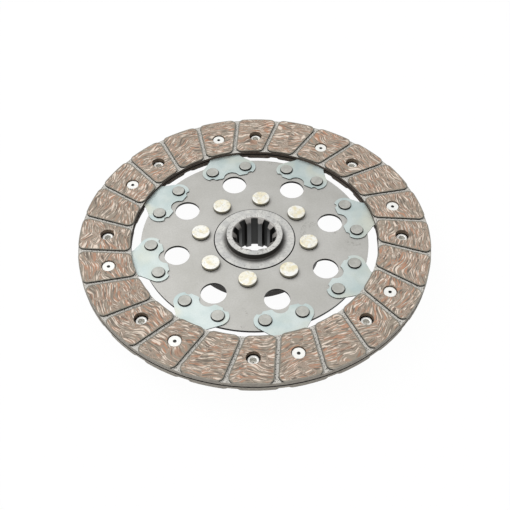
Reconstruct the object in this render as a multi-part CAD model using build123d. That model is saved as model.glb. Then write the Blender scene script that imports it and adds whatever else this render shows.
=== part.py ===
"""Rigid clutch disc: a splined hub riveted to a drive plate, eight cushion segments on its rim and two
grooved friction facings riveted to the segments. Millimetres, +Z along the hub towards its short neck.
The origin is on the hub's axis, in the upper face of the drive plate."""

import os
from math import asin, cos, degrees, radians, sin

from build123d import *

# Layout round the axis
sector_count = 8  # cushion segments, plate windows and hub rivets
pads_per_sector = 3  # friction pads of one facing over each cushion segment
sector_angle = 360 / sector_count
pad_angle = sector_angle / pads_per_sector

# Drive plate
plate_radius = 74.4
plate_thickness = 1.8
window_radius = 8.2
window_inset = 22.4  # window centres from the plate's rim
window_circle = plate_radius - window_inset

# Hub
hub_height = 26.4
neck_radius = 18.2
neck_height = 5.1  # above the plate's upper face
shoulder_radius = 26.3
shoulder_rise = 0.4  # how far the shoulder stands out of the plate
shoulder_clearance = 0.3  # between the shoulder and the plate's bore
flange_radius = 43.2
flange_thickness = 6.3
barrel_radius = 20.5
barrel_fillet = 2.5
hub_chamfer = 0.5  # on the flange's lower rim and the barrel's end

# Spline bore of the hub, straight sided
spline_count = 10
spline_major_radius = 14.3
spline_minor_radius = 11.6
spline_groove_width = 4.5
spline_phase = 2.8  # degrees from a plate window to the nearest groove
lead_in_radius = 14.7  # mouth of the 45 degree lead-in at the neck
foot_lead_in_radius = 12.8  # mouth of the smaller one at the barrel's end

# Hub rivets, solid, midway between the plate windows
hub_rivet_inset = 7.7  # rivet centres from the flange's rim
hub_rivet_circle = flange_radius - hub_rivet_inset
hub_rivet_shank_radius = 4.0
hub_rivet_head_radius = 6.0
hub_rivet_head_height = 2.6
hub_rivet_tail_radius = 5.8
hub_rivet_tail_height = 2.2

# Cushion segments
segment_thickness = 0.8
lobe_inset = 6.8  # lobe rivets from the plate's rim
lobe_circle = plate_radius - lobe_inset
lobe_angle = 10.1  # from the middle of the segment to each lobe rivet
lobe_radius = 7.1
notch_radius = 5.5
notch_gap = 3.7  # strip of plate left bare between a window and the notch beyond it
notch_corner_radius = 1.6
scallop_radius = 2.3
scallop_offset = 1.9  # scallop centre from the lobe rivet, away from the middle
scallop_drop = 7.7  # scallop centre from the lobe rivet, towards the axis
neck_half_width = 11.4  # where the flanks end
neck_length = 2.7  # from there to the facings' bore
throat_half_width = 10.2  # where the neck passes under the facing
paddle_margin = 2.2  # paddle edge inside the facing's edges
paddle_lead = 8.0  # degrees of paddle beyond the upper facing rivet
paddle_lag = 7.5  # degrees of paddle beyond the lower facing rivet
paddle_corner_radius = 3.0
cushion_wave = 0.2  # how far the trailing half of the paddle drops
wave_length = 8.0  # length of the slope between the two levels

# Segment rivets, solid
segment_rivet_shank_radius = 2.5
segment_rivet_head_radius = 4.2
segment_rivet_head_height = 1.2
segment_rivet_tail_radius = 3.9
segment_rivet_tail_height = 1.6
head_edge = 0.35  # bevel round the solid rivets' heads and tails

# Friction facings, one part used twice
facing_radius = 114.3
facing_gap = 6.2  # between the plate's rim and the facings' bore
facing_bore_radius = plate_radius + facing_gap
facing_thickness = 3.1
groove_width = 2.3
groove_depth = 1.2
groove_offset = 19.8  # distance from the axis to each groove's centre line
pad_corner_radius = 4.0

# Facing rivets, tubular: head sunk in one facing, tail rolled over the segment inside the other
facing_rivet_circle = 96.2
facing_rivet_lag = 16.0  # degrees from each upper facing rivet back to the lower one
facing_rivet_head_radius = 4.0
facing_rivet_head_thickness = 0.7
facing_rivet_head_depth = 0.8  # of the head's top below the friction face
facing_rivet_shank_radius = 2.5
facing_rivet_bore_radius = 2.0
facing_rivet_mouth_radius = 0.9  # small hole through the head
facing_rivet_tail_radius = 3.5
facing_rivet_tail_height = 0.6
pocket_clearance = 0.5  # round the heads and tails in the facings
shank_clearance = 0.05  # round every rivet shank

# Levels
plate_bottom = -plate_thickness
flange_bottom = plate_bottom - flange_thickness
hub_bottom = neck_height - hub_height
upper_facing_seat = segment_thickness
lower_facing_seat = -cushion_wave
pocket_depth = facing_rivet_head_depth + facing_rivet_head_thickness


def round_the_axis(shape, count, first_angle=0.0):
    """Copies of a shape spread evenly round the hub's axis."""
    return [Rot(0, 0, first_angle + index * 360 / count) * shape for index in range(count)]


def turned(*profile):
    """The solid that a closed half profile of (radius, height) points sweeps round the axis."""
    return revolve(make_face(Plane.XZ * Polyline(*profile, close=True)), Axis.Z)


def disc_at(radius, circle=0.0):
    """A flat round disc whose centre is on +X at a distance from the axis."""
    return Pos(circle, 0) * Circle(radius)


def lead_in(mouth_radius):
    """The 45 degree cone that opens the spline bore upwards to a mouth at Z = 0."""
    depth = mouth_radius - spline_minor_radius
    return Pos(0, 0, -depth / 2) * Cone(spline_minor_radius, mouth_radius, depth)


def make_hub():
    """Turned hub: short neck, locating shoulder, riveting flange and long barrel, with a splined bore."""
    body = turned(
        (0, hub_bottom),
        (barrel_radius - hub_chamfer, hub_bottom),
        (barrel_radius, hub_bottom + hub_chamfer),
        (barrel_radius, flange_bottom),
        (flange_radius - hub_chamfer, flange_bottom),
        (flange_radius, flange_bottom + hub_chamfer),
        (flange_radius, plate_bottom),
        (shoulder_radius, plate_bottom),
        (shoulder_radius, shoulder_rise),
        (neck_radius, shoulder_rise),
        (neck_radius, neck_height),
        (0, neck_height),
    )
    circles = body.edges().filter_by(GeomType.CIRCLE)
    under_flange = circles.filter_by(lambda edge: abs(edge.center().Z - flange_bottom) < 1e-3)
    body = fillet(under_flange.sort_by(SortBy.RADIUS)[0], barrel_fillet)

    slot = Pos(spline_major_radius / 2, 0) * Rectangle(spline_major_radius, spline_groove_width)
    slots = Sketch() + round_the_axis(slot, spline_count, spline_phase)
    spline = (Circle(spline_minor_radius) + slots) & Circle(spline_major_radius)
    body -= Pos(0, 0, hub_bottom) * extrude(spline, hub_height)

    body -= Pos(0, 0, neck_height) * lead_in(lead_in_radius)
    body -= Pos(0, 0, hub_bottom) * Rot(180, 0, 0) * lead_in(foot_lead_in_radius)

    hole = disc_at(hub_rivet_shank_radius + shank_clearance, hub_rivet_circle)
    holes = Sketch() + round_the_axis(hole, sector_count, sector_angle / 2)
    return body - Pos(0, 0, flange_bottom) * extrude(holes, flange_thickness)


def make_drive_plate():
    """Flat steel disc, located on the hub's shoulder, with windows and rivet holes."""
    plate = Circle(plate_radius) - Circle(shoulder_radius + shoulder_clearance)
    plate -= round_the_axis(disc_at(window_radius, window_circle), sector_count)
    hub_hole = disc_at(hub_rivet_shank_radius + shank_clearance, hub_rivet_circle)
    plate -= round_the_axis(hub_hole, sector_count, sector_angle / 2)
    lobe_hole = disc_at(segment_rivet_shank_radius + shank_clearance, lobe_circle)
    for angle in (-lobe_angle, lobe_angle):
        plate -= round_the_axis(lobe_hole, sector_count, angle)
    return Pos(0, 0, plate_bottom) * extrude(plate, plate_thickness)


def paddle_outline():
    """Ring sector of a segment between the facings, with rounded corners."""
    inner = facing_bore_radius + paddle_margin
    outer = facing_radius - paddle_margin
    first = -(facing_rivet_lag + paddle_lag)
    sweep = paddle_lead - first
    reach = 2 * outer
    wedge = make_face(
        Polyline(
            (0, 0),
            (reach * cos(radians(first)), reach * sin(radians(first))),
            (reach * cos(radians(first + sweep / 2)), reach * sin(radians(first + sweep / 2))),
            (reach * cos(radians(paddle_lead)), reach * sin(radians(paddle_lead))),
            close=True,
        )
    )
    sector = (Circle(outer) - Circle(inner)) & wedge
    return fillet(sector.vertices(), paddle_corner_radius)


def front_outline():
    """Flat outline of a segment's two riveted lobes and its neck, with its middle on +X."""
    lobe_x = lobe_circle * cos(radians(lobe_angle))
    lobe_y = lobe_circle * sin(radians(lobe_angle))
    foot = lobe_x - lobe_radius
    shoulder = Vector(facing_bore_radius - neck_length, neck_half_width)
    to_lobe = Vector(lobe_x, lobe_y) - shoulder
    lean = degrees(asin(lobe_radius / to_lobe.length))
    touch = shoulder + to_lobe.rotate(Axis.Z, -lean) * cos(radians(lean))
    under_facing = facing_bore_radius + paddle_margin + paddle_corner_radius
    half = [
        (foot, lobe_y),
        (lobe_x, lobe_y),
        (touch.X, touch.Y),
        (shoulder.X, shoulder.Y),
        (facing_bore_radius, throat_half_width),
        (under_facing, throat_half_width),
    ]
    mirrored = [(x, -y) for x, y in reversed(half)]
    outline = make_face(Polyline(*half, *mirrored, close=True))
    for side in (-1, 1):
        outline += Pos(lobe_x, side * lobe_y) * Circle(lobe_radius)

    notch_x = window_circle + window_radius + notch_gap - notch_radius
    open_side = Pos(notch_x / 2, 0) * Rectangle(notch_x, 2 * notch_radius)
    outline -= open_side + Pos(notch_x, 0) * Circle(notch_radius)
    on_foot = outline.vertices().filter_by(
        lambda corner: abs(corner.X - foot) < 1e-3 and abs(corner.Y) < notch_radius + 1e-3
    )
    outline = fillet(on_foot, notch_corner_radius)
    rivet_hole = disc_at(segment_rivet_shank_radius + shank_clearance, lobe_circle)
    for side in (-1, 1):
        scallop_y = side * (lobe_y + scallop_offset)
        outline -= Pos(lobe_x - scallop_drop, scallop_y) * Circle(scallop_radius)
        outline -= Rot(0, 0, side * lobe_angle) * rivet_hole
    return outline


def waved_sheet():
    """Sheet of the segment's thickness: flat at the neck, one step lower under the trailing paddle."""
    reach = facing_radius
    slope_start = -neck_half_width
    slope_end = slope_start - wave_length
    top = [
        Line((reach, segment_thickness), (slope_start, segment_thickness)),
        Spline(
            (slope_start, segment_thickness),
            (slope_end, segment_thickness - cushion_wave),
            tangents=[(-1, 0), (-1, 0)],
        ),
        Line((slope_end, segment_thickness - cushion_wave), (-reach, segment_thickness - cushion_wave)),
    ]
    bottom = [Pos(0, -segment_thickness) * edge for edge in top]
    ends = [
        Line(bottom[0] @ 0, top[0] @ 0),
        Line(top[2] @ 1, bottom[2] @ 1),
    ]
    return extrude(Plane.YZ * make_face(top + bottom + ends), reach)


def make_cushion_segment():
    """Spring steel segment: two riveted lobes, a neck, and a waved paddle between the facings."""
    paddle = paddle_outline()
    front = extrude(front_outline() - paddle, segment_thickness)
    rivet_hole = disc_at(facing_rivet_shank_radius + shank_clearance, facing_rivet_circle)
    for angle in (0, -facing_rivet_lag):
        paddle -= Rot(0, 0, angle) * rivet_hole
    blank = Pos(0, 0, -segment_thickness) * extrude(paddle, 3 * segment_thickness)
    return front + (blank & waved_sheet())


def pad_outline():
    """One friction pad, between two slanted grooves, with rounded corners."""
    slant = degrees(asin(groove_offset / facing_rivet_circle))
    ring_width = facing_radius - facing_bore_radius
    middle = (facing_radius + facing_bore_radius) / 2
    strip = Pos(middle, groove_offset) * Rectangle(3 * ring_width, groove_width)
    ring = Circle(facing_radius) - Circle(facing_bore_radius)
    for side in (-1, 1):
        ring -= Rot(0, 0, side * pad_angle / 2 - slant) * strip
    pad = Sketch() + ring.faces().sort_by(SortBy.AREA)[0]
    return fillet(pad.vertices(), pad_corner_radius)


def make_facing():
    """Moulded friction ring, its back at Z = 0 and its grooved face up, drilled for both sets of rivets."""
    flat_ring = Circle(facing_radius) - Circle(facing_bore_radius)
    pads = Sketch() + round_the_axis(pad_outline(), sector_count * pads_per_sector)
    # the ring is turned so that the seams of its round walls lie in a groove
    ring = Rot(0, 0, pad_angle / 2) * extrude(flat_ring, facing_thickness)
    ring -= Pos(0, 0, facing_thickness - groove_depth) * extrude(flat_ring - pads, groove_depth)

    pocket = disc_at(facing_rivet_head_radius + pocket_clearance, facing_rivet_circle)
    pockets = Sketch() + round_the_axis(pocket, sector_count)
    ring -= Pos(0, 0, facing_thickness - pocket_depth) * extrude(pockets, pocket_depth)
    ring -= Rot(0, 0, -facing_rivet_lag) * extrude(pockets, facing_thickness)
    shank = disc_at(facing_rivet_shank_radius + shank_clearance, facing_rivet_circle)
    shanks = Sketch() + round_the_axis(shank, sector_count)
    return ring - extrude(shanks, facing_thickness)


def flipped(shape):
    """A shape turned over, about the axis midway between an upper and a lower facing rivet."""
    return Rot(0, 0, -facing_rivet_lag / 2) * Rot(180, 0, 0) * Rot(0, 0, facing_rivet_lag / 2) * shape


def solid_rivet(shank_radius, head, tail, top, bottom):
    """A solid rivet gripping from bottom to top; head and tail are each a radius and a height."""
    head_radius, head_height = head
    tail_radius, tail_height = tail
    return turned(
        (0, top + head_height),
        (head_radius - head_edge, top + head_height),
        (head_radius, top + head_height - head_edge),
        (head_radius, top),
        (shank_radius, top),
        (shank_radius, bottom),
        (tail_radius, bottom),
        (tail_radius, bottom - tail_height / 2),
        (tail_radius - tail_height / 2, bottom - tail_height),
        (0, bottom - tail_height),
    )


def make_hub_rivets():
    """Rivets that clamp the drive plate to the hub's flange."""
    rivet = solid_rivet(
        hub_rivet_shank_radius,
        (hub_rivet_head_radius, hub_rivet_head_height),
        (hub_rivet_tail_radius, hub_rivet_tail_height),
        0,
        flange_bottom,
    )
    return round_the_axis(Pos(hub_rivet_circle, 0, 0) * rivet, sector_count, sector_angle / 2)


def make_segment_rivets():
    """Two rivets for each cushion segment, through its lobes and the drive plate."""
    rivet = solid_rivet(
        segment_rivet_shank_radius,
        (segment_rivet_head_radius, segment_rivet_head_height),
        (segment_rivet_tail_radius, segment_rivet_tail_height),
        segment_thickness,
        plate_bottom,
    )
    placed = Pos(lobe_circle, 0, 0) * rivet
    leading = round_the_axis(placed, sector_count, lobe_angle)
    return leading + round_the_axis(placed, sector_count, -lobe_angle)


def make_facing_rivets():
    """Tubular rivets of one facing, with their rolled tails on the segments' far face at Z = 0."""
    head_seat = upper_facing_seat + facing_thickness - pocket_depth
    head_top = head_seat + facing_rivet_head_thickness
    rivet = turned(
        (facing_rivet_mouth_radius, head_top),
        (facing_rivet_head_radius, head_top),
        (facing_rivet_head_radius, head_seat),
        (facing_rivet_shank_radius, head_seat),
        (facing_rivet_shank_radius, 0),
        (facing_rivet_tail_radius, 0),
        (facing_rivet_tail_radius, -facing_rivet_tail_height / 2),
        (facing_rivet_tail_radius - facing_rivet_tail_height / 2, -facing_rivet_tail_height),
        (facing_rivet_bore_radius, -facing_rivet_tail_height),
        (facing_rivet_bore_radius, head_seat),
        (facing_rivet_mouth_radius, head_seat),
    )
    return round_the_axis(Pos(facing_rivet_circle, 0, 0) * rivet, sector_count)


def write(name, shape):
    """Save one node; a list becomes a group of separate solids."""
    export_step(Compound(children=shape) if isinstance(shape, list) else shape, f"parts/{name}.step")


def main():
    os.makedirs("parts", exist_ok=True)
    write("hub", make_hub())
    write("drive_plate", make_drive_plate())
    write("hub_rivets", make_hub_rivets())
    for index, segment in enumerate(round_the_axis(make_cushion_segment(), sector_count)):
        write(f"cushion_segment_{index + 1}", segment)
    write("segment_rivets", make_segment_rivets())
    facing = make_facing()
    write("upper_facing", Pos(0, 0, upper_facing_seat) * facing)
    write("lower_facing", Pos(0, 0, lower_facing_seat) * flipped(facing))
    facing_rivets = make_facing_rivets()
    write("upper_facing_rivets", facing_rivets)
    lower_seat = segment_thickness - cushion_wave
    write("lower_facing_rivets", [Pos(0, 0, lower_seat) * flipped(rivet) for rivet in facing_rivets])


main()
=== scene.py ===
import math

import bpy
from mathutils import Matrix, Vector


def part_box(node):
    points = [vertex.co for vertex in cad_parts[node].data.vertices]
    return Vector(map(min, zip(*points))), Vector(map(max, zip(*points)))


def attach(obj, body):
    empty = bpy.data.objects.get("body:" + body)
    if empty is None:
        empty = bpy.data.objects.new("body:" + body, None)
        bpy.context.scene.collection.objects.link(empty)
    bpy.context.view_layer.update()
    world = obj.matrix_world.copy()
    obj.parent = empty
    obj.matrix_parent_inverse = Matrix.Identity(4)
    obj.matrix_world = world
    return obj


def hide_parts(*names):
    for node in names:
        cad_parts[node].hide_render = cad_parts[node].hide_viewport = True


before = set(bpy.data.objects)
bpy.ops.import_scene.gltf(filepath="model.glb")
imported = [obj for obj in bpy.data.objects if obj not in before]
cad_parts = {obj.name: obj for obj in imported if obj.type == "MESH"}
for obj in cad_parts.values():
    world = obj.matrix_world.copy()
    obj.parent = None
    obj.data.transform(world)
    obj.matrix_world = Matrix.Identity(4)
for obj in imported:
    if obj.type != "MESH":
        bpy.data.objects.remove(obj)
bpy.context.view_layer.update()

MM = 0.001

# Levels and radii of the disc, in metres, on the hub's axis
hub_low, hub_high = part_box("hub")
plate_low, plate_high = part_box("drive_plate")
facing_low, facing_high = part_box("upper_facing")
under_low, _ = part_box("lower_facing")
segment_low, segment_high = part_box("cushion_segment_1")
rivet_low, rivet_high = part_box("upper_facing_rivets")
under_rivet_low, under_rivet_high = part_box("lower_facing_rivets")
_, hub_rivet_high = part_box("hub_rivets")
_, segment_rivet_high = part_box("segment_rivets")
floor_level = hub_low.z
sectors = 8  # cushion segments, and facing rivets of each way up
sector_angle = math.tau / sectors
facing_radius = facing_high.x
facing_bore_radius = 80.6 * MM
facing_thickness = facing_high.z - facing_low.z
groove_depth = 1.2 * MM
rivet_circle = 96.2 * MM
pocket_radius = 4.5 * MM
rivet_lag = math.radians(16)
cushion_wave = 0.2 * MM  # how far the trailing half of a segment's paddle drops
rivet_head_radius = rivet_high.x - rivet_circle
rivet_head_thickness = 0.7 * MM
rivet_shank_radius = 2.5 * MM
rivet_bore_radius = 2.0 * MM
rivet_mouth_radius = 0.9 * MM
rivet_tail_radius = 3.5 * MM
rivet_tail_taper = 0.05 * MM  # how much narrower the lip is where it meets the segment
rivet_head_dip = 0.02 * MM  # how far the head's face falls towards its pit
neck_radius = 18.2 * MM
shoulder_radius = 26.3 * MM
plate_bore_radius = 26.6 * MM
lobe_circle = 67.6 * MM
lobe_angle = math.radians(10.1)
segment_rivet_radius = 4.2 * MM
land_radius = 11.6 * MM
spline_floor_radius = 14.3 * MM
lead_in_radius = 14.7 * MM
flange_low = plate_low.z - 6.3 * MM

# Making of the pieces
weld_distance = 0.001 * MM
same_place = 0.01 * MM
flat_angle = math.radians(0.3)
sharp_angle = math.radians(32)
turned_sides = 48
flat_face_weight = 80  # how strongly large faces set the shading along their edges; 50 is even
plate_edge = 0.08 * MM
segment_edge = 0.07 * MM
hub_rivet_edge = 0.15 * MM
segment_rivet_edge = 0.1 * MM
pad_edge_width = 0.12 * MM
groove_fillet = 0.65 * MM
neck_rim_edge = 0.3 * MM
shoulder_edge = 0.06 * MM
neck_foot_fillet = 0.9 * MM
tubular_head_edge = 0.25 * MM
pin_hole = 0.01 * MM  # where a turned profile closes on the axis

# Camera
view_azimuth = math.radians(-15.211)
view_elevation = math.radians(49.24)
view_roll = math.radians(-0.494)
view_distance = 586.8 * MM
view_aside = Vector((-0.27, 10.67)) * MM  # where the disc's centre stands in the view, right and up
lens_length = 63.19
film_width = 36.0

# Light
key_direction = Vector((-0.4, 0.45, 0.8)).normalized()
glow_direction = Vector((-0.3, -0.05, 0.95)).normalized()
dome_low = 0.4
dome_high = 1.7
glow_start = 0.4  # cosine of the angle from the glow's middle at which it begins
lamp_distance = 3.0
lamp_size = 1.9
lamp_power = 30
lamp_gloss = 0.25  # how much of the lamp shows in the metal
floor_size = 8
floor_white = 0.9
floor_glow = 0.97  # share of the floor that is plain white to the camera and in reflections


class Wire:
    """A shader value that takes part in sums: an expression on it adds its Math nodes."""

    def __init__(self, finish, socket):
        self.finish = finish
        self.socket = socket

    def maths(self, operation, first, second=0.0):
        return self.finish.node("Math", {"operation": operation}, {0: first, 1: second})

    def __add__(self, other):
        return self.maths("ADD", self, other)

    def __sub__(self, other):
        return self.maths("SUBTRACT", self, other)

    def __rsub__(self, other):
        return self.maths("SUBTRACT", other, self)

    def __mul__(self, other):
        return self.maths("MULTIPLY", self, other)

    def __pow__(self, other):
        return self.maths("POWER", self, other)

    def __abs__(self):
        return self.maths("ABSOLUTE", self)

    __radd__ = __add__
    __rmul__ = __mul__


class Nodes:
    """A shader's node tree, and the one way to add a node to it."""

    def __init__(self, owner, place):
        owner.use_nodes = True
        self.tree = owner.node_tree
        self.tree.nodes.clear()
        self.place = self.node("TexCoord", out=place)

    def node(self, kind, settings=None, inputs=None, out=0):
        """Adds a node: its settings first, then a value or a link for each socket."""
        node = self.tree.nodes.new("ShaderNode" + kind)
        for name, value in (settings or {}).items():
            setattr(node, name, value)
        for name, value in (inputs or {}).items():
            self.feed(node.inputs[name], value)
        return Wire(self, node.outputs[out])

    def feed(self, socket, value):
        if isinstance(value, Wire):
            self.tree.links.new(value.socket, socket)
        else:
            socket.default_value = value

    def output(self, kind, surface):
        self.feed(self.tree.nodes.new("ShaderNodeOutput" + kind).inputs["Surface"], surface)

    def noise(self, scale, detail=2.0, roughness=0.5, distortion=0.0, at=None):
        inputs = {"Scale": scale, "Detail": detail, "Roughness": roughness, "Distortion": distortion}
        inputs["Vector"] = at or self.place
        return self.node("TexNoise", None, inputs, "Fac")

    def spots(self, scale):
        """Distance from the nearest of many scattered points."""
        return self.node("TexVoronoi", None, {"Vector": self.place, "Scale": scale}, "Distance")

    def between(self, value, low, high, bottom=0.0, top=1.0):
        """A value's smooth rise from bottom at low to top at high."""
        inputs = {0: value, 1: low, 2: high, 3: bottom, 4: top}
        return self.node("MapRange", {"interpolation_type": "SMOOTHSTEP"}, inputs)

    def mix(self, share, first, second):
        """The first colour where share is 0, the second where it is 1."""
        settings = {"data_type": "RGBA", "clamp_factor": True}
        return self.node("Mix", settings, {0: share, 6: first, 7: second}, 2)

    def vector(self, operation, first, second, out=0):
        return self.node("VectorMath", {"operation": operation}, {0: first, 1: second}, out)

    def axes(self):
        """The three coordinates of a place."""
        split = self.node("SeparateXYZ", None, {0: self.place})
        return [Wire(self, output) for output in split.socket.node.outputs]

    def smaller(self, first, second):
        return self.node("Math", {"operation": "MINIMUM"}, {0: first, 1: second})

    def angle(self):
        """The angle round the hub's axis, in radians from +X."""
        x, y, _ = self.axes()
        return self.node("Math", {"operation": "ARCTAN2"}, {0: y, 1: x})

    def joined(self, x, y, z):
        return self.node("CombineXYZ", None, {0: x, 1: y, 2: z})

    def radius(self):
        x, y, _ = self.axes()
        return (x * x + y * y) ** 0.5

    def from_axes(self, circle, lag):
        """Distance from the nearest of eight axes on a circle round the hub's axis; lag turns them back."""
        half = sector_angle / 2
        angle = self.node("Math", {"operation": "WRAP"}, {0: self.angle() + lag, 1: half, 2: -half})
        along = self.radius() * self.node("Math", {"operation": "COSINE"}, {0: angle}) - circle
        across = self.radius() * self.node("Math", {"operation": "SINE"}, {0: angle})
        return (along * along + across * across) ** 0.5

    def inside_sheet(self, low, high):
        """How much a place belongs to the cut edge of a sheet, and not to its two faces."""
        skin = 0.05 * MM
        _, _, z = self.axes()
        under_top = self.between(z, high - 2 * skin, high - skin, 1.0, 0.0)
        return self.between(z, low + skin, low + 2 * skin) * under_top


class Finish(Nodes):
    """One procedural material, worked out from the place on the piece."""

    def __init__(self, name, **constants):
        self.material = bpy.data.materials.new(name)
        super().__init__(self.material, "Object")
        self.shader = self.node("BsdfPrincipled")
        for socket, value in constants.items():
            self.inputs[socket.replace("_", " ")].default_value = value

    @property
    def inputs(self):
        return self.shader.socket.node.inputs

    def relief(self, height, distance, strength, over=None):
        """Bump normals from a height of 0 to 1 that stands for a real distance."""
        inputs = {"Height": height, "Distance": distance, "Strength": strength}
        if over:
            inputs["Normal"] = over
        return self.node("Bump", None, inputs)

    def surface(self, **wires):
        for socket, wire in wires.items():
            self.feed(self.inputs[socket.replace("_", " ")], wire)
        self.output("Material", self.shader)
        return self.material


def tint(red, green, blue):
    """A colour from its 0 to 255 screen values."""
    levels = [value / 255 for value in (red, green, blue)]
    return tuple(v / 12.92 if v <= 0.04045 else ((v + 0.055) / 1.055) ** 2.4 for v in levels) + (1.0,)


# near black for the sheets' cut edges, partly darker sheared steel and partly painted shade, and for painted
# shade in gaps and round rivet heads
cut_edge_and_shade = tint(30, 29, 27)


def satin_sheet():
    """Rolled steel sheet of the drive plate: even satin grey with a few dark specks, cut edges painted dark
    (partly darker sheared steel, partly painted shade), and a painted shade ring round its bore.
    """
    finish = Finish("plate_steel", Metallic=0.7)
    cloud = finish.noise(30, 3, 0.6)
    grain = finish.noise(900, 2, 0.6)
    speck = finish.between(finish.spots(95), 0.035, 0.075, 1.0, 0.0)
    rare = finish.between(finish.noise(60, 1), 0.6, 0.66)
    colour = finish.mix(finish.between(cloud, 0.3, 0.7), tint(177, 176, 171), tint(188, 187, 183))
    colour = finish.mix(finish.between(grain, 0.35, 0.75) * 0.25, colour, tint(158, 155, 150))
    colour = finish.mix(speck * rare * 0.8, colour, tint(96, 92, 88))
    smudge = finish.between(finish.noise(45, 2, 0.5, 1.2), 0.62, 0.72)
    smudge = smudge * finish.between(finish.noise(700, 2, 0.7), 0.5, 0.6)
    colour = finish.mix(smudge * 0.4, colour, tint(122, 118, 112))
    # painted shade: a dark ring just past the bore, standing for the gap round the hub's shoulder
    past_bore = finish.radius() - plate_bore_radius
    colour = finish.mix(finish.between(past_bore, 0.1 * MM, 0.3 * MM, 1.0, 0.0), colour, cut_edge_and_shade)
    # cut edges painted dark: partly darker sheared steel, partly painted shade
    colour = finish.mix(finish.inside_sheet(plate_low.z, plate_high.z), colour, cut_edge_and_shade)
    rough = 0.42 + 0.1 * cloud + 0.08 * grain
    return finish.surface(Base_Color=colour, Roughness=rough, Normal=finish.relief(grain, 0.01 * MM, 0.4))


def zinc_blue():
    """Blue zinc plating, straw in patches, with cut edges painted dark (partly darker steel, partly painted
    shade) and a painted shadow round the segment rivets' heads.
    """
    finish = Finish("segment_steel", Metallic=0.75)
    cloud = finish.noise(55, 3, 0.55)
    straw = finish.between(finish.noise(38, 2, 0.5, 0.6), 0.45, 0.65)
    straw = straw * finish.between(finish.radius(), 64 * MM, 78 * MM, 0.25, 1.0)
    grain = finish.noise(1400, 2, 0.6)
    colour = finish.mix(finish.between(cloud, 0.3, 0.7), tint(180, 195, 194), tint(203, 212, 210))
    colour = finish.mix(straw * 0.6, colour, tint(210, 209, 192))
    colour = finish.mix(finish.between(grain, 0.45, 0.8) * 0.25, colour, tint(152, 162, 159))
    # painted shadow: a dark ring just outside each segment rivet's head
    leading = finish.from_axes(lobe_circle, -lobe_angle)
    trailing = finish.from_axes(lobe_circle, lobe_angle)
    past_head = finish.smaller(leading, trailing) - segment_rivet_radius
    colour = finish.mix(finish.between(past_head, 0.15 * MM, 0.4 * MM, 0.85, 0.0), colour, cut_edge_and_shade)
    # cut edges painted dark: partly darker sheared steel, partly painted shade
    cut_edge = finish.inside_sheet(segment_low.z + cushion_wave, segment_high.z)
    colour = finish.mix(cut_edge, colour, cut_edge_and_shade)
    rough = 0.36 + 0.12 * cloud + 0.08 * grain
    return finish.surface(Base_Color=colour, Roughness=rough, Normal=finish.relief(grain, 0.006 * MM, 0.4))


def zinc_yellow():
    """Pale zinc plating of the hub rivets, yellow in patches, with painted shade on the heads' sides and a
    painted shadow where the heads meet the plate.
    """
    finish = Finish("plated_rivet", Metallic=0.55)
    _, _, z = finish.axes()
    cloud = finish.noise(190, 3, 0.6, 0.4)
    scuff = finish.noise(620, 3, 0.65)
    colour = finish.mix(finish.between(cloud, 0.4, 0.68), tint(234, 234, 229), tint(224, 215, 184))
    colour = finish.mix(finish.between(scuff, 0.5, 0.72) * 0.6, colour, tint(186, 182, 168))
    high = hub_rivet_high.z
    above_tail = finish.between(z, flange_low - 0.4 * MM, flange_low - 0.2 * MM)
    # painted shade: the heads' sides are coloured a darker olive grey than their tops
    side = finish.between(z, high - 0.35 * MM, high - 0.12 * MM, 1.0, 0.0) * above_tail
    colour = finish.mix(side, colour, finish.mix(cloud, tint(112, 108, 94), tint(158, 153, 136)))
    above_plate = z - plate_high.z
    # painted shadow: near black round the foot of each head, where it meets the plate
    foot_shade = finish.between(above_plate, 0.4 * MM, 1.3 * MM, 1.0, 0.0) * above_tail
    colour = finish.mix(foot_shade, colour, tint(30, 28, 24))
    rough = 0.38 + 0.2 * scuff
    return finish.surface(Base_Color=colour, Roughness=rough, Normal=finish.relief(scuff, 0.02 * MM, 0.5))


def plain_steel():
    """Plain satin steel of the segment rivets, with painted shade, near black, round the sides of their
    heads.
    """
    finish = Finish("plain_rivet", Metallic=0.7)
    _, _, z = finish.axes()
    cloud = finish.noise(260, 3, 0.6)
    scuff = finish.noise(1100, 2, 0.6)
    colour = finish.mix(finish.between(cloud, 0.3, 0.7), tint(168, 168, 162), tint(186, 186, 180))
    colour = finish.mix(finish.between(scuff, 0.5, 0.8) * 0.4, colour, tint(148, 145, 138))
    high = segment_rivet_high.z
    # painted shade: near black on the heads' sides and down through the plate; the tails below stay plain
    side = finish.between(z, high - 0.22 * MM, high - 0.1 * MM, 1.0, 0.0)
    side = side * finish.between(z, plate_low.z - 0.3 * MM, plate_low.z - 0.1 * MM)
    colour = finish.mix(side, colour, tint(14, 13, 12))
    return finish.surface(
        Base_Color=colour, Roughness=0.4 + 0.2 * scuff, Normal=finish.relief(scuff, 0.012 * MM, 0.5)
    )


def bright_aluminium(name, lag):
    """Bright tubular facing rivets: their colour, and the distance from their axes that places the painted
    shade in their pits and the dull bore; lag turns the ring of rivets back.
    """
    finish = Finish(name, Metallic=0.25)
    scuff = finish.noise(1300, 3, 0.6)
    grime = finish.noise(700, 2, 0.6)
    colour = finish.mix(finish.between(scuff, 0.45, 0.8) * 0.5, tint(230, 230, 226), tint(196, 194, 188))
    out = finish.from_axes(rivet_circle, lag) + 0.2 * MM * (grime - 0.5)
    return finish, colour, out


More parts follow.
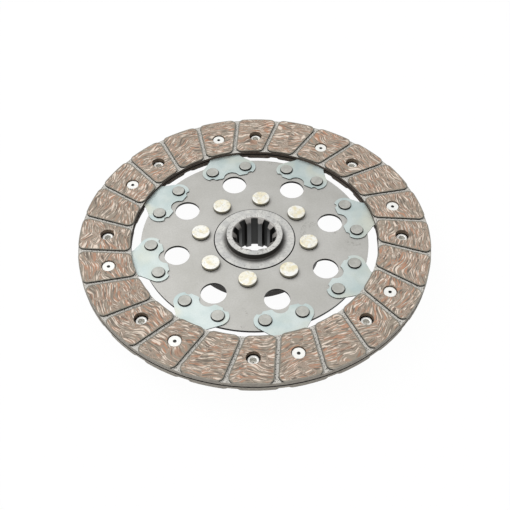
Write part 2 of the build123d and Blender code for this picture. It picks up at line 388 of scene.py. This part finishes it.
def upper_rivet_finish():
    """Heads up: white all over but for the small pit, which is painted dark as shade."""
    finish, colour, out = bright_aluminium("upper_tubular_rivet", 0.0)
    # painted shade: the pit is coloured near black
    pit = finish.between(out, rivet_mouth_radius + 0.1 * MM, rivet_mouth_radius + 0.3 * MM, 1.0, 0.0)
    colour = finish.mix(pit, colour, tint(44, 42, 39))
    return finish.surface(Base_Color=colour, Roughness=0.4 + 0.15 * finish.noise(900, 2))


def lower_rivet_finish():
    """Rolled tails up: a bright lip round a dull bore, with painted shade in the middle of the bore's floor.
    """
    finish, colour, out = bright_aluminium("lower_tubular_rivet", rivet_lag)
    _, _, z = finish.axes()
    bore = finish.between(out, rivet_bore_radius - 0.05 * MM, rivet_bore_radius + 0.15 * MM, 1.0, 0.0)
    above_head = finish.between(z, under_rivet_low.z + 0.3 * MM, under_rivet_low.z + 0.5 * MM)
    colour = finish.mix(bore * above_head * 0.5, colour, tint(196, 192, 182))
    # painted shade: a dark dot at the middle of the bore's floor
    pit = finish.between(out, 0.4 * MM, 0.6 * MM, 1.0, 0.0)
    colour = finish.mix(pit, colour, tint(70, 67, 61))
    return finish.surface(Base_Color=colour, Roughness=0.4 + 0.15 * finish.noise(900, 2))


def machined_steel():
    """Turned hub: fine rings on its ground faces, sides and flange painted dark (painted shade, partly dark
    unmachined steel on the neck), and a dark splined bore with painted shade in its grooves.
    """
    finish = Finish("hub_steel", Metallic=0.7)
    _, _, z = finish.axes()
    radius = finish.radius()

    # ground faces, pitted most on the neck's end
    grain = finish.noise(1200, 2, 0.6)
    cloud = finish.noise(120, 3, 0.6)
    pepper = finish.between(finish.noise(620, 2, 0.7), 0.54, 0.66)
    rings = finish.noise(2600, 2, 0.6, at=finish.joined(radius, z, 0.0))
    colour = finish.mix(finish.between(cloud, 0.3, 0.7), tint(184, 184, 182), tint(208, 207, 202))
    colour = finish.mix(finish.between(grain, 0.5, 0.7) * 0.5, colour, tint(158, 158, 159))
    on_neck = finish.between(z, hub_high.z - 0.5 * MM, hub_high.z - 0.3 * MM, 0.3, 0.65)
    colour = finish.mix(pepper * on_neck, colour, tint(124, 121, 118))

    # painted dark: the neck's wall (partly dark unmachined steel, partly painted shade, with painted light
    # on its lower part), the shoulder's wall (painted shade), a painted shadow round the neck's foot, and
    # painted shade on all that lies under the plate but the barrel
    fine = 0.15 * MM
    foot_shadow_width = 4.2 * MM
    neck = finish.between(abs(radius - neck_radius), fine, 2 * fine, 1.0, 0.0)
    neck = neck * finish.between(z, hub_high.z - 3 * fine, hub_high.z - fine, 1.0, 0.0)
    shoulder = finish.between(radius, shoulder_radius - 2 * fine, shoulder_radius - fine)
    below = finish.between(z, plate_low.z - fine, plate_low.z, 1.0, 0.0)
    dark = finish.mix(cloud, tint(38, 36, 34), tint(60, 58, 55))
    # painted light: the neck's wall is lighter on its lower part, as if lit from the shoulder
    wall_painted_light = finish.between(z, plate_high.z + 0.4 * MM, hub_high.z - 0.8 * MM, 1.0, 0.0)
    wall_painted_light = wall_painted_light * finish.between(z, plate_high.z, plate_high.z + 0.2 * MM)
    dark = finish.mix(wall_painted_light, dark, tint(72, 69, 65))
    # painted shadow on the shoulder, darkest at the neck and fading outwards
    foot_shade = finish.between(radius, neck_radius + 2 * fine, neck_radius + foot_shadow_width, 0.92, 0.0)
    foot_shade = foot_shade * finish.between(z, hub_high.z - 1.5 * MM, hub_high.z - MM, 1.0, 0.0)
    colour = finish.mix(foot_shade, colour, tint(58, 55, 52))
    # neck wall painted dark: partly dark unmachined steel, partly painted shade
    colour = finish.mix(neck, colour, dark)
    # painted shade: the shoulder's outer wall near black
    colour = finish.mix(shoulder, colour, tint(16, 15, 15))
    # painted shade: all under the plate dark, but the barrel below the flange keeps plain steel
    barrel = finish.between(z, flange_low - 0.3 * MM, flange_low - 0.1 * MM, 1.0, 0.0)
    colour = finish.mix(below, colour, finish.mix(barrel, dark, tint(134, 131, 127)))

    # splined bore: lands, sides and floors of the grooves, and the lead-in's cone; the grooves' sides and
    # floors are painted darker than the lands as shade
    bore = finish.between(radius, lead_in_radius, lead_in_radius + fine, 1.0, 0.0)
    past_land = finish.between(radius - land_radius, fine, 3 * fine)
    # painted shade: groove sides and floors darker than the lands
    wall = finish.mix(past_land, tint(108, 109, 109), tint(50, 49, 47))
    on_floor = finish.between(radius - spline_floor_radius, -2 * fine, -fine)
    wall = finish.mix(on_floor, wall, tint(62, 63, 62))
    mouth = finish.mix(cloud, tint(132, 129, 126), tint(158, 155, 151))
    wall = finish.mix(finish.between(abs(cone_gap(radius, z)), fine, 2 * fine, 1.0, 0.0), wall, mouth)
    colour = finish.mix(bore, colour, wall)
    rough = 0.4 + 0.1 * cloud + 0.1 * grain
    turned = finish.relief(rings, 0.006 * MM, 0.6)
    ground = finish.relief(grain, 0.008 * MM, 0.4, turned)
    return finish.surface(Base_Color=colour, Roughness=rough, Normal=ground)


def cone_gap(radius, z):
    """How far inside the upper lead-in's 45 degree cone a place lies."""
    return lead_in_radius - radius - (hub_high.z - z)


# Friction lining: yarn laid round the ring in soft waves, pressed in resin and ground flat
ring_middle = (facing_radius + facing_bore_radius) / 2
yarn_wave = 23 * MM  # length of the waves
yarn_swing = 22 * MM  # how far sideways a wave pushes the yarn
yarn_stretch = 8.5  # how many times as long as wide the strands are
pad_border = 1.3 * MM  # bare resin inside each pad's outline


def yarn_course(finish, angle, seed):
    """Where a place lies in one layer of the yarn: across its strands, and along them round the ring."""
    wave = finish.noise(1 / yarn_wave, 1, 0.4, at=finish.vector("ADD", finish.place, (0, 0, seed)))
    across = finish.radius() + yarn_swing * (wave - 0.5) + seed
    run = ring_middle / yarn_stretch
    along_x = finish.node("Math", {"operation": "COSINE"}, {0: angle}) * run
    along_y = finish.node("Math", {"operation": "SINE"}, {0: angle}) * run
    return finish.joined(across, along_x, along_y)


def yarn(finish, strands, scale, low, high, offset):
    """How much of a strand of one colour covers a place."""
    shifted = finish.vector("ADD", strands, offset)
    return finish.between(finish.noise(scale, 2, 0.5, at=shifted), low, high)


def friction_lining(name, face, side):
    """Brown-grey lining with light and rust-brown yarn; face is its friction face's height, side its way."""
    finish = Finish(name, Metallic=0.0)
    _, _, z = finish.axes()
    angle = finish.angle()

    # yarn of three colours in mottled resin, with a few rust-red spots
    on_top = finish.between(finish.noise(85, 1, 0.5, 0.3), 0.48, 0.52)
    strands = finish.mix(on_top, yarn_course(finish, angle, 0.3), yarn_course(finish, angle, 0.7))
    light = yarn(finish, strands, 1300, 0.54, 0.62, (0.0, 0.0, 0.0))
    rust = yarn(finish, strands, 1100, 0.51, 0.6, (0.31, 0.17, 0.07))
    dark = yarn(finish, strands, 1250, 0.5, 0.6, (0.12, 0.41, 0.23))
    mottle = finish.noise(420, 3, 0.6)
    fine = finish.noise(1500, 2, 0.6)
    warm = finish.between(finish.noise(70, 2), 0.4, 0.62)
    colour = finish.mix(mottle, tint(125, 116, 104), tint(158, 146, 131))
    colour = finish.mix(dark * 0.75, colour, tint(87, 77, 68))
    colour = finish.mix(rust * (0.45 + 0.45 * warm), colour, tint(172, 127, 101))
    colour = finish.mix(light * 0.84, colour, tint(223, 208, 193))
    colour = finish.mix(finish.between(fine, 0.5, 0.75) * 0.35, colour, tint(118, 107, 96))
    spot = finish.between(finish.spots(240), 0.05, 0.14, 1.0, 0.0)
    spot = spot * finish.between(finish.noise(150), 0.58, 0.62)
    colour = finish.mix(spot * 0.7, colour, tint(176, 74, 40))

    # bare resin skin along each pad's outline, but not round its pockets, and a dark line at the outline
    # that is partly painted shade and partly dirt
    pocket = finish.from_axes(rivet_circle, 0.0)
    deep_pocket = finish.from_axes(rivet_circle, rivet_lag)
    past_pocket = finish.smaller(pocket, deep_pocket) - pocket_radius
    off_pockets = finish.between(past_pocket, pad_border, 1.2 * pad_border)
    edge = finish.node("Attribute", {"attribute_name": "pad_edge"}, out="Fac") * off_pockets
    skin = finish.mix(mottle, tint(100, 98, 89), tint(140, 136, 124))
    colour = finish.mix(finish.between(edge + 0.6 * (fine - 0.5), 0.2, 0.6) * 0.85, colour, skin)
    # dark line along the pad's outline: partly painted shade at the edge, partly dirt
    colour = finish.mix(finish.between(edge, 0.72, 0.92) * 0.5, colour, tint(62, 56, 50))

    # walls of grooves and pockets, dusty groove floors, outer rim and back; the near-black groove walls, the
    # dark bore wall with brown streaks and the black back are painted shade
    depth = (face - z) * side
    radius = finish.radius()
    grit = finish.between(finish.noise(1150, 2, 0.7), 0.37, 0.47)
    dust = finish.mix(grit, tint(72, 68, 62), tint(191, 188, 181))
    rim = finish.mix(mottle, tint(112, 107, 100), tint(158, 152, 142))
    outside = finish.between(radius, facing_radius - 0.5 * MM, facing_radius - 0.3 * MM)
    inside = finish.between(radius, facing_bore_radius + 0.1 * MM, facing_bore_radius + 0.3 * MM, 1.0, 0.0)
    # painted shade: groove walls near black, the bore wall dark with brown streaks
    wall = finish.mix(inside, tint(24, 21, 19), finish.mix(mottle, tint(36, 31, 27), tint(92, 79, 67)))
    in_pocket = finish.between(past_pocket, 0.1 * MM, 0.3 * MM, 1.0, 0.0)
    wall = finish.mix(in_pocket, wall, finish.mix(mottle, tint(84, 71, 59), tint(136, 118, 100)))
    colour = finish.mix(finish.between(depth, 0.12 * MM, 0.26 * MM), colour, wall)
    on_floor = finish.between(abs(depth - groove_depth), 0.02 * MM, 0.05 * MM, 1.0, 0.0)
    colour = finish.mix(on_floor * (1 - in_pocket), colour, dust)
    colour = finish.mix(outside, colour, rim)
    # painted shade: the back, facing into the gap between the facings, is near black
    back = finish.between(depth, facing_thickness - 0.08 * MM, facing_thickness - 0.02 * MM)
    colour = finish.mix(back, colour, tint(30, 27, 24))

    height = light * 0.5 + rust * 0.3 + mottle * 0.4
    return finish.surface(
        Base_Color=colour, Roughness=0.72 + 0.15 * mottle, Normal=finish.relief(height, 0.08 * MM, 0.5)
    )


def all_alone(piece):
    """Selects one piece and nothing else."""
    bpy.ops.object.select_all(action="DESELECT")
    bpy.context.view_layer.objects.active = piece
    piece.select_set(True)


def apply_modifier(piece, kind, **settings):
    """Adds a modifier to the active piece and applies it."""
    modifier = piece.modifiers.new(kind.lower(), kind)
    for name, value in settings.items():
        setattr(modifier, name, value)
    bpy.ops.object.modifier_apply(modifier=modifier.name)


def edit_all(piece):
    """Opens one piece in edit mode with everything in it selected."""
    all_alone(piece)
    bpy.ops.object.mode_set(mode="EDIT")
    bpy.ops.mesh.select_mode(type="EDGE")
    bpy.ops.mesh.select_all(action="SELECT")


def merged_copy(node):
    """A welded copy of a solid's mesh, its flat faces whole again."""
    piece = bpy.data.objects.new(node + "_finished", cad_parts[node].data.copy())
    bpy.context.scene.collection.objects.link(piece)
    edit_all(piece)
    bpy.ops.mesh.remove_doubles(threshold=weld_distance)
    bpy.ops.mesh.dissolve_limited(angle_limit=flat_angle)
    bpy.ops.object.mode_set(mode="OBJECT")
    return piece


def round_edges(piece, width, chosen=None, steps=2):
    """Rounds over the sharp edges of a piece, or those of them whose middle is a chosen place."""
    edit_all(piece)
    bpy.ops.mesh.select_all(action="DESELECT")
    bpy.ops.mesh.edges_select_sharp(sharpness=sharp_angle)
    bpy.ops.object.mode_set(mode="OBJECT")
    points = piece.data.vertices
    for edge in piece.data.edges:
        if edge.select and chosen:
            first, second = (points[index].co for index in edge.vertices)
            edge.select = chosen((first + second) / 2)
    bpy.ops.object.mode_set(mode="EDIT")
    bpy.ops.mesh.bevel(offset=width, segments=steps, affect="EDGES", clamp_overlap=True)
    bpy.ops.object.mode_set(mode="OBJECT")


def border_pads(piece, face):
    """Draws a border inside the outline of every pad of a facing and marks it for the finish."""
    all_alone(piece)
    bpy.ops.object.mode_set(mode="EDIT")
    bpy.ops.mesh.select_mode(type="FACE")
    bpy.ops.mesh.select_all(action="DESELECT")
    bpy.ops.object.mode_set(mode="OBJECT")
    for polygon in piece.data.polygons:
        polygon.select = abs(polygon.center.z - face) < same_place
    bpy.ops.object.mode_set(mode="EDIT")
    bpy.ops.mesh.inset(thickness=pad_border, depth=0)
    bpy.ops.object.mode_set(mode="OBJECT")
    marks = piece.data.attributes.new("pad_edge", "FLOAT", "POINT")
    for vertex, mark in zip(piece.data.vertices, marks.data):
        mark.value = 0.0 if vertex.select else 1.0


def dress_facing(node, face, side):
    """Pads with a border and broken edges, grooves with a small fillet along their floors."""
    piece = merged_copy(node)
    border_pads(piece, face)
    floor = face - side * groove_depth

    def along_floor(point):
        off_rims = 0.3 * MM
        inside_rims = facing_bore_radius + off_rims < point.xy.length < facing_radius - off_rims
        return abs(point.z - floor) < same_place and inside_rims

    round_edges(piece, groove_fillet, along_floor, steps=4)
    round_edges(piece, pad_edge_width, lambda point: not along_floor(point))
    finish_piece(piece, friction_lining(node + "_lining", face, side), "facing", node)


def finish_piece(piece, finish, slot, *nodes):
    """Smooth shading with flat faces kept flat, the finish, and the piece's place in the frame."""
    all_alone(piece)
    bpy.ops.object.shade_smooth_by_angle(angle=sharp_angle)
    apply_modifier(piece, "WEIGHTED_NORMAL", keep_sharp=True, weight=flat_face_weight)
    piece.data.materials.clear()
    piece.data.materials.append(finish)
    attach(piece, "root")
    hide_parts(*nodes)


def dress(node, finish, slot, width):
    """Puts a finished piece with rounded edges in the place of a solid."""
    piece = merged_copy(node)
    round_edges(piece, width)
    finish_piece(piece, finish, slot, node)


def dress_hub():
    """Neck rim well rounded, shoulder and flange edges only broken, and a fillet round the neck's foot."""
    piece = merged_copy("hub")
    slack = 0.5 * MM

    def on_neck_rim(point):
        return point.z > hub_high.z - 0.1 * MM and point.xy.length > neck_radius - slack

    def past_shoulder(point):
        return point.xy.length > shoulder_radius - slack

    def on_neck_foot(point):
        low_enough = plate_low.z < point.z < plate_high.z + MM
        return abs(point.xy.length - neck_radius) < 0.2 * MM and low_enough

    round_edges(piece, neck_rim_edge, on_neck_rim)
    round_edges(piece, shoulder_edge, past_shoulder)
    round_edges(piece, neck_foot_fillet, on_neck_foot, steps=5)
    finish_piece(piece, machined_steel(), "hub_steel", "hub")


def lathe(name, profile):
    """A closed ring turned about +Z: a circle is extruded from each (radius, height) point to the next."""
    bpy.ops.object.select_all(action="DESELECT")
    first_radius, first_height = profile[0]
    start = (0, 0, first_height)
    bpy.ops.mesh.primitive_circle_add(vertices=turned_sides, radius=first_radius, location=start)
    piece = bpy.context.object
    piece.name = name
    bpy.ops.object.transform_apply(location=True)
    edit_all(piece)
    for (radius, height), (next_radius, next_height) in zip(profile, profile[1:] + profile[:1]):
        bpy.ops.mesh.extrude_region_move(TRANSFORM_OT_translate={"value": (0, 0, next_height - height)})
        ratio = next_radius / radius
        bpy.ops.transform.resize(value=(ratio, ratio, 1), center_override=(0, 0, next_height))
    bpy.ops.mesh.select_all(action="SELECT")
    bpy.ops.mesh.remove_doubles(threshold=weld_distance)
    bpy.ops.mesh.normals_make_consistent(inside=False)
    bpy.ops.object.mode_set(mode="OBJECT")
    return piece


def rounded(centre, size, first, last, steps=6):
    """Points of an elliptic arc between two angles in degrees, for a lathe profile."""
    angles = [math.radians(first + (last - first) * step / steps) for step in range(steps + 1)]
    return [(centre[0] + size[0] * math.cos(a), centre[1] + size[1] * math.sin(a)) for a in angles]


def tubular_rivet(name):
    """One facing rivet on +Z, head up: rounded flat head with a small pit, tube, and rolled lip."""
    top = rivet_high.z
    seat = top - rivet_head_thickness
    tail = rivet_low.z
    lip_middle = (rivet_bore_radius + rivet_tail_radius) / 2
    lip_half = (rivet_tail_radius - rivet_bore_radius) / 2
    edge = tubular_head_edge
    profile = [
        (pin_hole, seat + edge / 2),
        (rivet_mouth_radius, seat + edge / 2),
        (rivet_mouth_radius, top - edge),
        (rivet_mouth_radius + edge, top - rivet_head_dip),
        (rivet_head_radius / 2, top),
        *rounded((rivet_head_radius - edge, top - edge), (edge, edge), 90, 0),
        (rivet_head_radius, seat),
        (rivet_shank_radius, seat),
        (rivet_shank_radius, 0.0),
        (rivet_tail_radius - rivet_tail_taper, 0.0),
        *rounded((lip_middle, tail / 2), (lip_half, -tail / 2), 0, -180, steps=12),
        (rivet_bore_radius, seat),
        (pin_hole, seat),
    ]
    return lathe(name, profile)


def ring_of_rivets(name, finish, turn, *nodes):
    """Eight copies of the facing rivet, each with its own mesh, turned over or not, as one piece."""
    rivet = tubular_rivet(name)
    rivet.data.transform(Matrix.Translation((rivet_circle, 0, 0)))
    copies = [rivet]
    for index in range(1, sectors):
        copy = bpy.data.objects.new(f"{name}_{index}", rivet.data.copy())
        copy.data.transform(Matrix.Rotation(index * sector_angle, 4, "Z"))
        bpy.context.scene.collection.objects.link(copy)
        copies.append(copy)
    all_alone(rivet)
    for copy in copies:
        copy.select_set(True)
    bpy.ops.object.join()
    rivet.data.transform(turn)
    edit_all(rivet)
    bpy.ops.mesh.normals_make_consistent(inside=False)
    bpy.ops.object.mode_set(mode="OBJECT")
    finish_piece(rivet, finish, "tubular_rivet", *nodes)


def turned_over():
    """The move that takes the upper facing's rivets to the lower facing's."""
    half = Matrix.Rotation(rivet_lag / 2, 4, "Z")
    lift = Matrix.Translation((0, 0, under_rivet_high.z + rivet_low.z))
    return lift @ half.inverted() @ Matrix.Rotation(math.pi, 4, "X") @ half


def dress_all():
    """Every piece of the disc, from the hub outwards."""
    dress_hub()
    dress("drive_plate", satin_sheet(), "plate_steel", plate_edge)
    dress("hub_rivets", zinc_yellow(), "plated_rivet", hub_rivet_edge)
    zinc = zinc_blue()
    for index in range(sectors):
        dress(f"cushion_segment_{index + 1}", zinc, "segment_steel", segment_edge)
    dress("segment_rivets", plain_steel(), "plain_rivet", segment_rivet_edge)
    dress_facing("upper_facing", facing_high.z, 1)
    dress_facing("lower_facing", under_low.z, -1)
    ring_of_rivets("upper_rivets_finished", upper_rivet_finish(), Matrix.Identity(4), "upper_facing_rivets")
    ring_of_rivets("lower_rivets_finished", lower_rivet_finish(), turned_over(), "lower_facing_rivets")


def make_floor():
    """Plain white floor; it looks white to the camera and in reflections, and keeps a soft shadow."""
    bpy.ops.object.select_all(action="DESELECT")
    bpy.ops.mesh.primitive_plane_add(size=floor_size, location=(0, 0, floor_level))
    floor = bpy.context.object
    floor.name = "studio_floor"
    paint = Finish("floor_paper", Roughness=0.9)
    paint.inputs["Base Color"].default_value = (floor_white, floor_white, floor_white, 1)
    glow = paint.node("Emission", None, {"Color": (1, 1, 1, 1), "Strength": 1.0})
    seen = paint.node("LightPath", out="Is Camera Ray")
    mirrored = paint.node("LightPath", out="Is Glossy Ray")
    share = (seen + mirrored) * floor_glow
    paint.output("Material", paint.node("MixShader", None, {0: share, 1: paint.shader, 2: glow}))
    floor.data.materials.append(paint.material)


def make_world():
    """A soft white dome, brightest overhead and a little to the left; plain white to the camera."""
    world = bpy.data.worlds.new("studio")
    bpy.context.scene.world = world
    sky = Nodes(world, "Generated")
    towards_glow = sky.vector("DOT_PRODUCT", sky.place, glow_direction, out="Value")
    level = sky.between(towards_glow, glow_start, 1.0, dome_low, dome_high)
    seen = sky.node("LightPath", out="Is Camera Ray")
    strength = level + seen * (1 - level)
    sky.output("World", sky.node("Background", None, {"Color": (1, 1, 1, 1), "Strength": strength}))


def make_lamp():
    """One far softbox, turned to the disc, that gives the shadows their direction."""
    lamp = bpy.data.lights.new("far_softbox", "AREA")
    lamp.shape = "DISK"
    lamp.size = lamp_size
    lamp.energy = lamp_power
    lamp.specular_factor = lamp_gloss
    thing = bpy.data.objects.new("far_softbox", lamp)
    bpy.context.scene.collection.objects.link(thing)
    place = key_direction * lamp_distance
    thing.location = place
    thing.rotation_euler = (-place).to_track_quat("-Z", "Y").to_euler()


def view_direction():
    """Unit vectors of the view: to the right, up and back towards the camera."""
    level = math.cos(view_elevation)
    east = math.sin(view_azimuth) * level
    north = -math.cos(view_azimuth) * level
    back = Vector((east, north, math.sin(view_elevation)))
    right = Vector((math.cos(view_azimuth), math.sin(view_azimuth), 0))
    up = back.cross(right)
    rolled_right = right * math.cos(view_roll) + up * math.sin(view_roll)
    return rolled_right, back.cross(rolled_right), back


def make_camera():
    """The camera, turned so that the disc's centre stands a little aside of the view's middle."""
    right, up, back = view_direction()
    camera = bpy.data.cameras.new("studio_camera")
    camera.lens = lens_length
    camera.sensor_width = film_width
    thing = bpy.data.objects.new("studio_camera", camera)
    bpy.context.scene.collection.objects.link(thing)
    place = back * view_distance - right * view_aside.x - up * view_aside.y
    thing.matrix_world = Matrix.Translation(place) @ Matrix((right, up, back)).transposed().to_4x4()
    bpy.context.scene.camera = thing


bpy.context.scene.view_settings.view_transform = "Standard"
dress_all()
make_floor()
make_world()
make_lamp()
make_camera()
